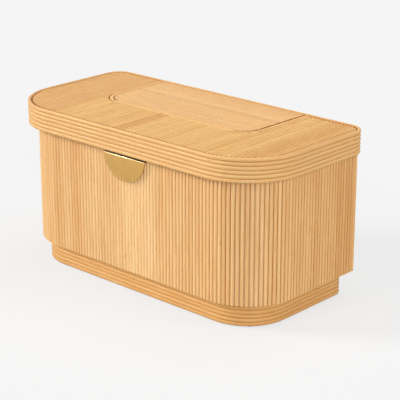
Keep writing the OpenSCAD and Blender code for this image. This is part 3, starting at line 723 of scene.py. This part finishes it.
def scribe_panel(co):
    """Keeps a reed of the centre panel inside the border reed. At the right end each is sawn
    a little short, by hand, so that a dark beaded seam shows."""
    y = co.y / MM
    past = max(0.0, min(inner[1] + inner[3] - y, inner[3]))
    reach = inner[0] - inner[3] + math.sqrt(inner[3] ** 2 - past ** 2)
    reed = math.floor((y - inner[1]) / panel_depth * len(across))
    short = cut_short[min(max(reed, 0), len(across) - 1)] * min(max((y - inner[1]) / SEAM_START, 0), 1)
    left, right = (LEFT_CORNER_GAP if past > 0 else 0) - reach, reach - short
    co.x = min(max(co.x, left * MM), right * MM)
    return co, (co.x - left * MM, right * MM - co.x)


panel_reeds = sweep(
    "centre_top_reeds",
    [[((-inner[0], y, TOP_BOARD), (0, 0, 1)), ((inner[0], y, TOP_BOARD), (0, 0, 1))] for y in across],
    cane_tones(len(across), 61, 0.05, 0.6), top_rattan, painted_groove_shades(len(across), 62, 0.0, 0.3),
    trim=scribe_panel, Seed=61,
    **{**top_sizes, "Back width": 0.013, "Flatness": 8.0, "Step": 0.075, "Sway": 0.00005,
       "Swell": 0.008, "Grade": 0.008})
settle(panel_reeds, "lid", "top_reeds", "centre_reeds")
middle = inset(PANEL, REED / 2)
ARM_STEPS = 12
arm_length = FIELD[2] - PANEL[1] - PANEL[3]
border = []
for side in (1, -1):
    arm = [(side * middle[0], FIELD[2] - arm_length * i / ARM_STEPS) for i in range(ARM_STEPS)]
    for i in range(ARM_STEPS + 1):
        a = math.radians(90 * i / ARM_STEPS)
        arm.append((side * (middle[0] - middle[3] + middle[3] * math.cos(a)),
                    middle[1] + middle[3] - middle[3] * math.sin(a)))
    border += arm if side == 1 else arm[::-1]
border_reed = sweep(
    "bent_border_reed", [[((x, y, TOP_BOARD), (0, 0, 1)) for x, y in border]], [0.55],
    top_rattan, [0.4], Seed=63, **{**top_sizes, "Step": 0.008, "Flatness": 3.2})
settle(border_reed, "lid", "top_reeds", "border_reed")

# Pull. A half-moon of brushed brass sheet, its straight edge bent back into a flange that
# is screwed up through a strip of beech, coloured black as painted shade, into the lid.


def brass(name, colour, roughness, brush_mm, highlight_mm=1000):
    """Brass with fine marks from a brushing belt along its length and a faint cloudy tarnish,
    with a painted highlight in a line 2 mm wide at a height, and painted shade above it, dark and without
    shine."""
    made, tree, shader = finish(name, roughness, Metallic=1.0)
    place = add(tree, "ShaderNodeTexCoord").outputs["Object"]
    brushed = add(tree, "ShaderNodeMapping", {
        "Vector": place, "Scale": (25, 1000 / brush_mm, 1000 / brush_mm)})
    mark = add(tree, "ShaderNodeTexNoise", {
        "Vector": brushed.outputs[0], "Scale": 1.0, "Detail": 3.0}).outputs[0]
    cloud = add(tree, "ShaderNodeTexNoise", {"Vector": place, "Scale": 45.0, "Detail": 3.0}).outputs[0]
    dull = add(tree, "ShaderNodeMapRange", {0: cloud, 1: 0.4, 2: 0.75, 4: 0.2})
    tarnish = add(tree, "ShaderNodeMix", {
        0: dull.outputs[0], 6: linear(colour), 7: linear("#BE9150")}, data_type="RGBA")
    height = add(tree, "ShaderNodeSeparateXYZ", {0: place}).outputs[2]
    off = add(tree, "ShaderNodeMath", {0: height, 1: highlight_mm * MM}, operation="SUBTRACT")
    far = add(tree, "ShaderNodeMath", {0: off.outputs[0]}, operation="ABSOLUTE")
    line = add(tree, "ShaderNodeMapRange", {0: far.outputs[0], 1: 0.4 * MM, 2: 1.0 * MM, 3: 1.0, 4: 0.0})
    painted_highlight = add(tree, "ShaderNodeMix", {
        0: line.outputs[0], 6: tarnish.outputs[2], 7: linear("#F8E2B2")}, data_type="RGBA")
    shade_above = add(tree, "ShaderNodeMapRange", {0: off.outputs[0], 1: 0.9 * MM, 2: 1.3 * MM})
    painted_shade_above = add(tree, "ShaderNodeMix", {
        0: shade_above.outputs[0], 6: painted_highlight.outputs[2], 7: linear("#3C1A02")}, data_type="RGBA")
    tree.links.new(painted_shade_above.outputs[2], shader.inputs["Base Color"])
    for socket, bare in (("Metallic", 1.0), ("Specular IOR Level", 0.5)):
        plain = add(tree, "ShaderNodeMapRange", {0: shade_above.outputs[0], 3: bare, 4: 0.0})
        tree.links.new(plain.outputs[0], shader.inputs[socket])
    rough = add(tree, "ShaderNodeMapRange", {
        0: mark, 1: 0.3, 2: 0.7, 3: roughness - 0.06, 4: roughness + 0.08})
    tree.links.new(rough.outputs[0], shader.inputs["Roughness"])
    bump = add(tree, "ShaderNodeBump", {"Height": mark, "Strength": 0.25, "Distance": 0.00005})
    tree.links.new(bump.outputs[0], shader.inputs["Normal"])
    return made


# The height of the pull's bend.
BEND_Z = 387.4
# Brushed brass: a matt gold face, with a painted highlight along the bend and painted shade above it.
pull_brass = brass("brushed_brass", "#EABA6C", 0.36, 0.25, BEND_Z)
plate = nodes["pull_plate"].data.copy()
plate.name = "half_moon_pull"
plate.materials.clear()
plate.materials.append(pull_brass)
tidy = bmesh.new()
tidy.from_mesh(plate)
bmesh.ops.remove_doubles(tidy, verts=tidy.verts, dist=MERGED)
bmesh.ops.dissolve_limit(tidy, angle_limit=0.01, verts=tidy.verts, edges=tidy.edges)
tidy.to_mesh(plate)
tidy.free()
pull = put("half_moon_pull", plate)
eased = pull.modifiers.new("eased", "BEVEL")
eased.width = 0.35 * MM
eased.segments = 2
eased.angle_limit = math.radians(40)
pull.data = modified(pull)
pull.modifiers.clear()
for polygon in pull.data.polygons:
    polygon.use_smooth = True
pull.data.set_sharp_from_angle(angle=math.radians(35))
settle(pull, "lid", "pull_brass", "pull_plate")
# Beech coloured black: painted shade for the dark gap above the plate.
dress("pull_spacer", planed_wood("black_beech_painted_shade", 0, "#231A14", "#120D0A", 7))

# Hinges. Two butt hinges of brass-plated steel. The leaves are let into the edges of the
# back wall and the lid, and a steel pin runs through the barrel.


def mottled(name, roughness, scale, light, dark, **shader):
    """A plain material with a fine mottle between two colours."""
    made, tree, principled = finish(name, roughness, **shader)
    place = add(tree, "ShaderNodeTexCoord").outputs["Object"]
    grain = add(tree, "ShaderNodeTexNoise", {"Vector": place, "Scale": scale, "Detail": 2.0})
    mixed = add(tree, "ShaderNodeMix", {
        0: grain.outputs[0], 6: linear(light), 7: linear(dark)}, data_type="RGBA")
    tree.links.new(mixed.outputs[2], principled.inputs["Base Color"])
    return made


# Brass plating: smoother and brighter than the pull.
plated = brass("brass_plated_steel", "#D9B36A", 0.26, 0.4)
dress("body_hinge_leaves", plated)
dress("lid_hinge_leaves", plated)
# Zinc-plated steel: light grey with a faint crystal mottle.
steel = mottled("zinc_plated_steel", 0.3, 900.0, "#C9C8C4", "#A9A8A5", Metallic=1.0)
dress("hinge_pins", steel)
dress("glide_nails", steel)

# Screws. Countersunk, with a cross recess: steel ones hold the floor to the plinth, and
# brass-plated ones the hinges and the pull. Each has stopped at its own turn.


def screw_mesh(head, shank, length):
    """A screw standing point down, in mm, with its head's face at z = 0."""
    shape = bmesh.new()
    rings = []
    tall = (head - shank) / 2
    for radius, z in ((head / 2 - 0.1, 0), (head / 2, -0.1), (shank / 2, -tall),
                      (shank / 2, 2 - length), (0.2, -length)):
        rings.append([
            shape.verts.new((radius * math.cos(i * math.pi / 8), radius * math.sin(i * math.pi / 8), z))
            for i in range(16)])
    for upper, lower in zip(rings, rings[1:]):
        for i in range(16):
            shape.faces.new((upper[i], lower[i], lower[(i + 1) % 16], upper[(i + 1) % 16]))
    shape.faces.new(rings[-1][::-1])
    arm, wide, deep = head * 0.27, head * 0.065, head * 0.2
    cross = [(arm, -wide), (arm, wide), (wide, wide), (wide, arm), (-wide, arm), (-wide, wide),
             (-arm, wide), (-arm, -wide), (-wide, -wide), (-wide, -arm), (wide, -arm), (wide, -wide)]
    mouth = [shape.verts.new((x, y, 0)) for x, y in cross]
    root = [shape.verts.new((x * 0.6, y * 0.6, -deep)) for x, y in cross]
    for i in range(12):
        shape.faces.new((mouth[i], mouth[(i + 1) % 12], root[(i + 1) % 12], root[i]))
    shape.faces.new(root)
    rim_edges = [shape.edges.get((rings[0][i], rings[0][(i + 1) % 16])) for i in range(16)]
    rim_edges += [shape.edges.get((mouth[i], mouth[(i + 1) % 12])) for i in range(12)]
    bmesh.ops.triangle_fill(shape, use_beauty=True, edges=rim_edges, normal=(0, 0, 1))
    bmesh.ops.recalc_face_normals(shape, faces=shape.faces)
    bmesh.ops.scale(shape, vec=(MM, MM, MM), verts=shape.verts)
    made = bpy.data.meshes.new("screw")
    shape.to_mesh(made)
    shape.free()
    return made


def screw_tree():
    """Puts one screw on each point, aimed as the point says and turned at random."""
    tree = bpy.data.node_groups.new("screws_on_points", "GeometryNodeTree")
    face = tree.interface
    face.new_socket("Points", in_out="INPUT", socket_type="NodeSocketGeometry")
    face.new_socket("Screw", in_out="INPUT", socket_type="NodeSocketObject")
    face.new_socket("Seed", in_out="INPUT", socket_type="NodeSocketInt").default_value = 1
    face.new_socket("Finish", in_out="INPUT", socket_type="NodeSocketMaterial")
    face.new_socket("Screws", in_out="OUTPUT", socket_type="NodeSocketGeometry")
    given = add(tree, "NodeGroupInput").outputs
    flip = add(tree, "GeometryNodeInputNamedAttribute", {0: "flip"}, data_type="FLOAT").outputs[0]
    turn = add(tree, "FunctionNodeRandomValue", {2: 0.0, 3: 6.28, 8: given["Seed"]}, data_type="FLOAT")
    aim = add(tree, "ShaderNodeCombineXYZ", {0: flip, 2: turn.outputs[1]})
    screw = add(tree, "GeometryNodeObjectInfo", {0: given["Screw"]}, transform_space="ORIGINAL")
    placed = add(tree, "GeometryNodeInstanceOnPoints", {
        0: given["Points"], "Instance": screw.outputs["Geometry"], "Rotation": aim.outputs[0]})
    real = add(tree, "GeometryNodeRealizeInstances", {0: placed.outputs[0]})
    done = add(tree, "GeometryNodeSetMaterial", {0: real.outputs[0], "Material": given["Finish"]})
    add(tree, "NodeGroupOutput", {0: done.outputs[0]})
    return tree


turned_in = screw_tree()
# Where the screws stand. Their heads are at these heights.
HINGE_SCREWS_Y = 203.5
BODY_LEAF_TOP = 399.4
LID_LEAF_FACE = 399.8
FLOOR_TOP = 79.8
FLANGE_FACE = 387.2
hinge_places = [(s * HINGE_X + x, HINGE_SCREWS_Y) for s in (-1, 1) for x in (-24, 0, 24)]
floor_places = [
    (-172.2, -154.4), (172.2, -154.4), (-172.2, 181.4), (172.2, 181.4), (-393.4, 66.7), (393.4, 66.7)]
pull_places = [(x, -200.35) for x in (-52.26, 0, 52.26)]
# Head, shank and length of the two kinds.
wood_screw, small_screw = (6.8, 3.5, 23), (4.2, 2.4, 26)
screw_sets = (
    ("floor_wood_screws", "floor_screws", "trunk", "steel", steel,
     wood_screw, 0, FLOOR_TOP, floor_places),
    ("body_hinge_wood_screws", "body_hinge_screws", "trunk", "hinge_brass", plated,
     wood_screw, 0, BODY_LEAF_TOP, hinge_places),
    ("lid_hinge_wood_screws", "lid_hinge_screws", "lid", "hinge_brass", plated,
     wood_screw, math.pi, LID_LEAF_FACE, hinge_places),
    ("pull_wood_screws", "pull_screws", "lid", "pull_brass", pull_brass,
     small_screw, math.pi, FLANGE_FACE, pull_places),
)
for seed, screw_set in enumerate(screw_sets, 71):
    name, replaced, body, slot, made_of, size, flip, z, spots = screw_set
    points = bpy.data.meshes.new(name + "_points")
    points.from_pydata([(x * MM, y * MM, z * MM) for x, y in spots], [], [])
    points.attributes.new("flip", "FLOAT", "POINT").data.foreach_set("value", [flip] * len(spots))
    pattern = bpy.data.objects.new(name + "_pattern", screw_mesh(*size))
    piece = run_tree(name, points, turned_in, {"Screw": pattern, "Seed": seed, "Finish": made_of})
    bpy.data.objects.remove(pattern)
    settle(piece, body, slot, replaced)

# Glides and buffers. Six black rubber feet are nailed under the plinth's frame, and four
# small clear bumpers on the walls' top edges take the lid as it closes.

# Moulded rubber: black and dull, with a fine grain.
rubber = mottled("black_moulded_rubber", 0.75, 1400.0, "#1B1A19", "#2C2A28")
dress("glides", rubber)
# Clear soft plastic: glassy, a little milky.
bumper = mottled(
    "clear_bumper", 0.22, 600.0, "#E9E7E0", "#D8D5CC", IOR=1.45, Transmission_Weight=0.6)
dress("lid_buffers", bumper)

# Studio. A wide pale floor that the trunk stands on, soft lamps in front, to the left, to the
# right, behind that and above, and a camera at the photograph's angle.

scene = bpy.context.scene
FLOOR = 40.0
floor_mesh = bpy.data.meshes.new("studio_floor")
floor_mesh.from_pydata(
    [(x * FLOOR, y * FLOOR, 0) for x, y in ((-1, -1), (1, -1), (1, 1), (-1, 1))], [], [(0, 1, 2, 3)])
put("studio_floor", floor_mesh)
# The part of the floor's light that is its own, as the camera and reflections see it.
GLOW = 0.73
# White paper: the camera sees it near white, and the trunk's shadow still falls on it. What it
# throws back on the trunk is less, so that the shadows under the band stay dark.
paper = bpy.data.materials.new("white_studio_paper")
paper.use_nodes = True
tree = paper.node_tree
tree.nodes.clear()
path = add(tree, "ShaderNodeLightPath").outputs
tone = add(tree, "ShaderNodeMix", {
    0: path["Is Camera Ray"], 6: linear("#9A9A9A"), 7: linear("#E6E6E6")}, data_type="RGBA")
matt = add(tree, "ShaderNodeBsdfDiffuse", {"Color": tone.outputs[2]})
glow = add(tree, "ShaderNodeEmission", {"Color": linear("#F8F8F8"), "Strength": 1.0})
seen = add(tree, "ShaderNodeMath", {
    0: path["Is Camera Ray"], 1: path["Is Glossy Ray"]}, operation="MAXIMUM")
direct = add(tree, "ShaderNodeMath", {0: seen.outputs[0], 1: GLOW}, operation="MULTIPLY")
surface = add(tree, "ShaderNodeMixShader", {0: direct.outputs[0], 1: matt.outputs[0], 2: glow.outputs[0]})
add(tree, "ShaderNodeOutputMaterial", {0: surface.outputs[0]})
floor_mesh.materials.append(paper)

world = bpy.data.worlds.new("soft_studio")
scene.world = world
world.use_nodes = True
tree = world.node_tree
tree.nodes.clear()
path = add(tree, "ShaderNodeLightPath").outputs
seen = add(tree, "ShaderNodeMath", {
    0: path["Is Camera Ray"], 1: path["Is Glossy Ray"]}, operation="MAXIMUM")
clear = add(tree, "ShaderNodeMath", {
    0: seen.outputs[0], 1: path["Is Transmission Ray"]}, operation="MAXIMUM")
dome = add(tree, "ShaderNodeBackground", {"Color": linear("#FFFFFF"), "Strength": 0.2})
white = add(tree, "ShaderNodeBackground", {"Color": linear("#F6F6F6"), "Strength": 1.0})
mixed = add(tree, "ShaderNodeMixShader", {0: clear.outputs[0], 1: dome.outputs[0], 2: white.outputs[0]})
add(tree, "ShaderNodeOutputWorld", {0: mixed.outputs[0]})


def softbox(name, strength, azimuth, elevation, spread):
    """A soft distant lamp. Azimuth 0 stands in front of the trunk, 90 to its right."""
    lamp = bpy.data.lights.new(name, "SUN")
    lamp.energy = strength
    lamp.angle = math.radians(spread)
    made = put(name, lamp)
    a, e = math.radians(azimuth), math.radians(elevation)
    back = Vector((math.sin(a) * math.cos(e), -math.cos(a) * math.cos(e), math.sin(e)))
    made.rotation_euler = (-back).to_track_quat("-Z", "Y").to_euler()


softbox("key_softbox", 0.5, -10, 30, 12)
softbox("side_softbox", 2.3, -55, 24, 16)
softbox("fill_softbox", 1.78, 46, 18, 26)
softbox("rear_softbox", 0.9, 118, 18, 24)
softbox("overhead_softbox", 0.78, 160, 76, 40)

camera_data = bpy.data.cameras.new("photo_camera")
camera = put("photo_camera", camera_data)
CAMERA_TURN = 42.749
CAMERA_TILT = 19.279
# The lens as the photograph shows it, in pixels of a picture 400 wide.
FOCAL_PIXELS = 1393.1
PICTURE_PIXELS = 400
camera_data.sensor_width = 36
camera_data.lens = FOCAL_PIXELS / PICTURE_PIXELS * camera_data.sensor_width
camera.location = (2.4649, -2.5838, 1.4672)
camera.rotation_euler = (math.radians(90 - CAMERA_TILT), 0, math.radians(CAMERA_TURN))
camera_data.clip_end = 100
scene.camera = camera
scene.view_settings.view_transform = "Standard"
